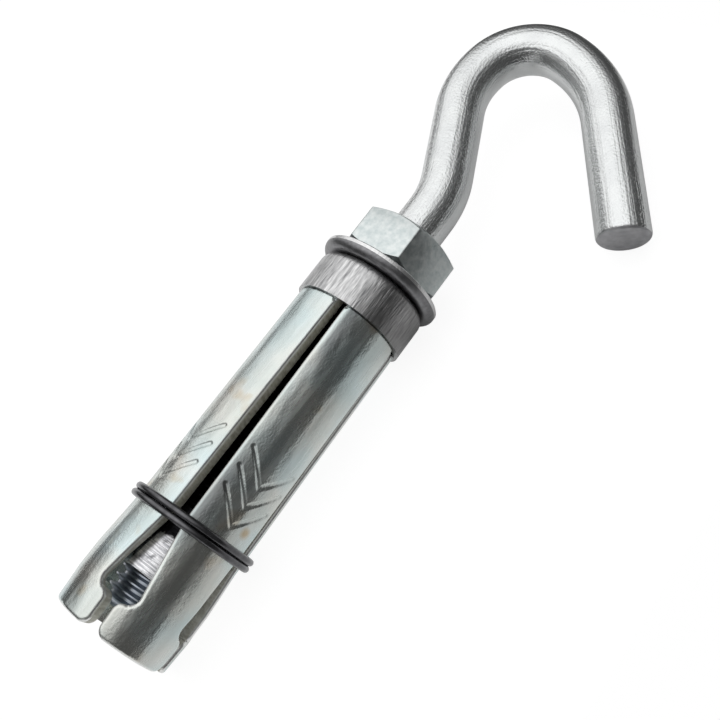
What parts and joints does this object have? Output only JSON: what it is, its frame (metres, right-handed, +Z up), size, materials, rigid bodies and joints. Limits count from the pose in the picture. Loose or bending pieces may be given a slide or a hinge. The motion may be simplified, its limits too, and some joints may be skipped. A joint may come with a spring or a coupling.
{
  "type": "ceiling hook shield anchor bolt",
  "caption": "Open ceiling hook on a threaded shank with a nut, washer and ferrule, and an expanding sleeve of leaves that a cone spreads in a drilled hole.",
  "frame": {"origin": "on the anchor's axis at the ceiling plane, where the washer sits on the ferrule", "axes": "+X along the anchor towards the hook, +Z up with the anchor lying on its side, hook tip on the -Y side"},
  "size_m": [0.0995, 0.0367, 0.017],
  "materials": {
    "bright_zinc": "bright zinc plating on a bent bar, dull sheared tip",
    "nut_zinc": "zinc plating on machined flats",
    "washer_steel": "satin grey stamped steel",
    "ferrule_steel": "bare drawn steel with lengthwise marks",
    "leaf_zinc": "zinc plating on pressed steel, faintly green and yellow",
    "black_wire": "black spring wire",
    "turned_steel": "bright steel with fine turning marks"
  },
  "bodies": {
    "ferrule": {"ferrule": "ferrule_steel", "washer": "washer_steel", "wire_ring": "black_wire"},
    "nut": {"hex_nut": "nut_zinc"},
    "bolt": {"hook_bolt": "bright_zinc", "expander_cone": "turned_steel"},
    "leaf_1": {"shield_leaf_1": "leaf_zinc"},
    "leaf_2": {"shield_leaf_2": "leaf_zinc"},
    "leaf_3": {"shield_leaf_3": "leaf_zinc"},
    "leaf_4": {"shield_leaf_4": "leaf_zinc"}
  },
  "joints": [
    {"name": "bolt_draw", "type": "slide", "parent": "ferrule", "child": "bolt", "axis": [1, 0, 0], "range_m": [0, 0.005], "deforming": ["wire_ring"]},
    {"name": "nut_turn", "type": "hinge", "parent": "ferrule", "child": "nut", "pos_m": [0.00485, 0, 0], "axis": [-1, 0, 0], "range_deg": [0, 1440]},
    {"name": "leaf_1_spread", "type": "hinge", "parent": "ferrule", "child": "leaf_1", "pos_m": [-0.006, -0.00635, 0.00257], "axis": [0, 0.3746, 0.9272], "range_deg": [0, 1.9]},
    {"name": "leaf_2_spread", "type": "hinge", "parent": "ferrule", "child": "leaf_2", "pos_m": [-0.006, -0.00257, -0.00635], "axis": [0, -0.9272, 0.3746], "range_deg": [0, 1.9]},
    {"name": "leaf_3_spread", "type": "hinge", "parent": "ferrule", "child": "leaf_3", "pos_m": [-0.006, 0.00635, -0.00257], "axis": [0, -0.3746, -0.9272], "range_deg": [0, 1.9]},
    {"name": "leaf_4_spread", "type": "hinge", "parent": "ferrule", "child": "leaf_4", "pos_m": [-0.006, 0.00257, 0.00635], "axis": [0, 0.9272, -0.3746], "range_deg": [0, 1.9]}
  ],
  "couplings": [
    {"joint": "nut_turn", "follows": "bolt_draw", "rad_per_m": 5026.5},
    {"joint": "leaf_1_spread", "follows": "bolt_draw", "rad_per_m": 6.6322},
    {"joint": "leaf_2_spread", "follows": "bolt_draw", "rad_per_m": 6.6322},
    {"joint": "leaf_3_spread", "follows": "bolt_draw", "rad_per_m": 6.6322},
    {"joint": "leaf_4_spread", "follows": "bolt_draw", "rad_per_m": 6.6322}
  ]
}
